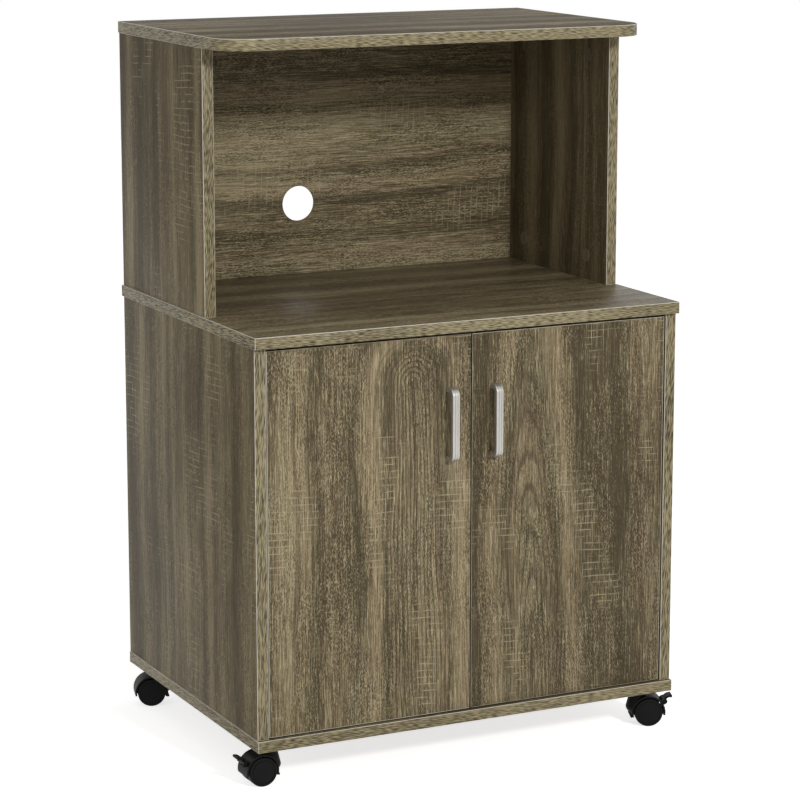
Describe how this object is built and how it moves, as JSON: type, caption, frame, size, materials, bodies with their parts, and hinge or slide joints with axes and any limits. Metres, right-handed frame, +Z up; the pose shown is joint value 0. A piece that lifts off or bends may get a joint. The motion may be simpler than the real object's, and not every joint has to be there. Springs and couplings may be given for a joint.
{
  "type": "microwave cart",
  "caption": "Rolling kitchen cart: two-door cabinet on swivel casters with an open hutch for a microwave oven on its worktop.",
  "frame": {"origin": "on the floor, at the middle of the cart's box in X and Y", "axes": "+X to the right as seen from the front, +Y to the back, +Z up"},
  "size_m": [0.6306, 0.461, 0.93],
  "materials": {
    "board_decor": "grey-brown wood-grain melamine, satin",
    "cover_plastic": "matt brown plastic",
    "satin_metal": "satin nickel",
    "black_plastic": "semi-matt moulded black",
    "zinc": "zinc plated",
    "magnet": "dark sintered",
    "beech": "raw beech"
  },
  "bodies": {
    "cabinet": {"bottom_board": "board_decor", "left_side_panel": "board_decor", "right_side_panel": "board_decor", "worktop": "board_decor", "cabinet_back_panel": "board_decor", "hutch_left_side": "board_decor", "hutch_right_side": "board_decor", "hutch_back_panel": "board_decor", "top_board": "board_decor", "adjustable_shelf": "board_decor", "shelf_pins": "zinc", "cam_locks": "zinc", "cam_bolts": "zinc", "cam_covers": "cover_plastic", "dowels": "beech", "left_hinge_pins": "zinc", "right_hinge_pins": "zinc", "catch_body": "black_plastic", "catch_magnets": "magnet", "catch_screws": "zinc", "caster_plates": "zinc", "caster_screws": "zinc", "swivel_pins": "zinc"},
    "left_door_leaf": {"left_door": "board_decor", "left_handle": "satin_metal", "left_handle_screws": "zinc", "left_hinge_bushes": "black_plastic", "left_strike_plate": "zinc", "left_strike_screw": "zinc"},
    "right_door_leaf": {"right_door": "board_decor", "right_handle": "satin_metal", "right_handle_screws": "zinc", "right_hinge_bushes": "black_plastic", "right_strike_plate": "zinc", "right_strike_screw": "zinc"},
    "front_left_swivel": {"front_left_hood": "black_plastic", "front_left_axle": "zinc", "front_left_lever_pin": "black_plastic"},
    "front_left_left_roller": {"front_left_wheel_left": "black_plastic"},
    "front_left_right_roller": {"front_left_wheel_right": "black_plastic"},
    "front_left_brake": {"front_left_brake_lever": "black_plastic"},
    "front_right_swivel": {"front_right_hood": "black_plastic", "front_right_axle": "zinc", "front_right_lever_pin": "black_plastic"},
    "front_right_left_roller": {"front_right_wheel_left": "black_plastic"},
    "front_right_right_roller": {"front_right_wheel_right": "black_plastic"},
    "front_right_brake": {"front_right_brake_lever": "black_plastic"},
    "rear_left_swivel": {"rear_left_hood": "black_plastic", "rear_left_axle": "zinc"},
    "rear_left_left_roller": {"rear_left_wheel_left": "black_plastic"},
    "rear_left_right_roller": {"rear_left_wheel_right": "black_plastic"},
    "rear_right_swivel": {"rear_right_hood": "black_plastic", "rear_right_axle": "zinc"},
    "rear_right_left_roller": {"rear_right_wheel_left": "black_plastic"},
    "rear_right_right_roller": {"rear_right_wheel_right": "black_plastic"}
  },
  "joints": [
    {"name": "left_door_hinge", "type": "hinge", "parent": "cabinet", "child": "left_door_leaf", "pos_m": [-0.25698, -0.204, 0.31325], "axis": [0, 0, -1], "range_deg": [0, 110]},
    {"name": "right_door_hinge", "type": "hinge", "parent": "cabinet", "child": "right_door_leaf", "pos_m": [0.25698, -0.204, 0.31325], "axis": [0, 0, 1], "range_deg": [0, 110]},
    {"name": "front_left_swivel_joint", "type": "hinge", "parent": "cabinet", "child": "front_left_swivel", "pos_m": [-0.269, -0.1795, 0.045], "axis": [0, 0, 1], "continuous": true},
    {"name": "front_left_left_roller_joint", "type": "hinge", "parent": "front_left_swivel", "child": "front_left_left_roller", "pos_m": [-0.283, -0.1795, 0.019], "axis": [0, -1, 0], "continuous": true},
    {"name": "front_left_right_roller_joint", "type": "hinge", "parent": "front_left_swivel", "child": "front_left_right_roller", "pos_m": [-0.283, -0.1795, 0.019], "axis": [0, -1, 0], "continuous": true},
    {"name": "front_left_brake_joint", "type": "hinge", "parent": "front_left_swivel", "child": "front_left_brake", "pos_m": [-0.30529, -0.1795, 0.03239], "axis": [0, -1, 0], "range_deg": [0, 25]},
    {"name": "front_right_swivel_joint", "type": "hinge", "parent": "cabinet", "child": "front_right_swivel", "pos_m": [0.269, -0.1795, 0.045], "axis": [0, 0, 1], "continuous": true},
    {"name": "front_right_left_roller_joint", "type": "hinge", "parent": "front_right_swivel", "child": "front_right_left_roller", "pos_m": [0.28198, -0.18474, 0.019], "axis": [0.3746, 0.9272, 0], "continuous": true},
    {"name": "front_right_right_roller_joint", "type": "hinge", "parent": "front_right_swivel", "child": "front_right_right_roller", "pos_m": [0.28198, -0.18474, 0.019], "axis": [0.3746, 0.9272, 0], "continuous": true},
    {"name": "front_right_brake_joint", "type": "hinge", "parent": "front_right_swivel", "child": "front_right_brake", "pos_m": [0.30264, -0.19309, 0.03239], "axis": [0.3746, 0.9272, 0], "range_deg": [0, 25]},
    {"name": "rear_left_swivel_joint", "type": "hinge", "parent": "cabinet", "child": "rear_left_swivel", "pos_m": [-0.269, 0.1885, 0.045], "axis": [0, 0, 1], "continuous": true},
    {"name": "rear_left_left_roller_joint", "type": "hinge", "parent": "rear_left_swivel", "child": "rear_left_left_roller", "pos_m": [-0.28246, 0.19236, 0.019], "axis": [-0.2756, -0.9613, 0], "continuous": true},
    {"name": "rear_left_right_roller_joint", "type": "hinge", "parent": "rear_left_swivel", "child": "rear_left_right_roller", "pos_m": [-0.28246, 0.19236, 0.019], "axis": [-0.2756, -0.9613, 0], "continuous": true},
    {"name": "rear_right_swivel_joint", "type": "hinge", "parent": "cabinet", "child": "rear_right_swivel", "pos_m": [0.269, 0.1885, 0.045], "axis": [0, 0, 1], "continuous": true},
    {"name": "rear_right_left_roller_joint", "type": "hinge", "parent": "rear_right_swivel", "child": "rear_right_left_roller", "pos_m": [0.28169, 0.19442, 0.019], "axis": [-0.4226, 0.9063, 0], "continuous": true},
    {"name": "rear_right_right_roller_joint", "type": "hinge", "parent": "rear_right_swivel", "child": "rear_right_right_roller", "pos_m": [0.28169, 0.19442, 0.019], "axis": [-0.4226, 0.9063, 0], "continuous": true}
  ]
}
